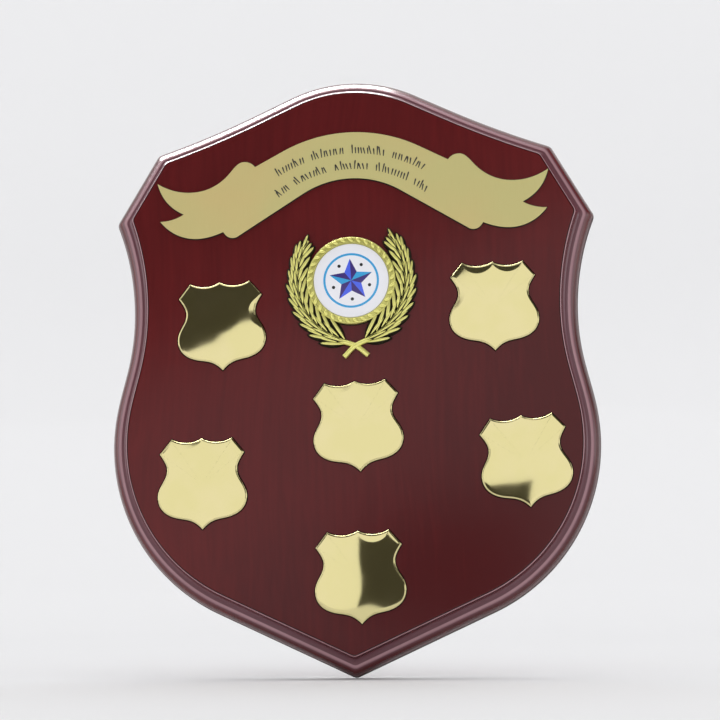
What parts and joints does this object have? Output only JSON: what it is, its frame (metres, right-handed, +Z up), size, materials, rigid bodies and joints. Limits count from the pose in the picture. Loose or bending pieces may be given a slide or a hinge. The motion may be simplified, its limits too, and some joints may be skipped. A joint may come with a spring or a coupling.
{
  "type": "wooden award shield plaque",
  "caption": "Moulded wooden heraldic shield plaque with an arched ribbon plate, a laurel wreath round a centre disc, and small brass shields.",
  "frame": {"origin": "middle of the board's flat back, where the wall holds the plaque", "axes": "+Z up the shield from its tip to its crown, +X to the right for someone who faces the front, -Y out of the front and +Y out of the flat back into the wall"},
  "size_m": [0.1634, 0.0174, 0.2025],
  "materials": {
    "lacquered_wood": "red mahogany stain under clear gloss lacquer",
    "ribbon_brass": "satin brass with dark engraved strokes",
    "wreath_gold": "bright gold plating, dark in the crevices",
    "disc_white": "white print with a blue design under a clear coat",
    "badge_brass": "polished brass"
  },
  "bodies": {
    "root": {"shield_board": "lacquered_wood", "ribbon_plate": "ribbon_brass", "wreath_surround": "wreath_gold", "centre_disc": "disc_white", "small_shield_upper_left": "badge_brass", "small_shield_upper_right": "badge_brass", "small_shield_lower_left": "badge_brass", "small_shield_middle": "badge_brass", "small_shield_lower_right": "badge_brass", "small_shield_bottom": "badge_brass"}
  },
  "joints": []
}
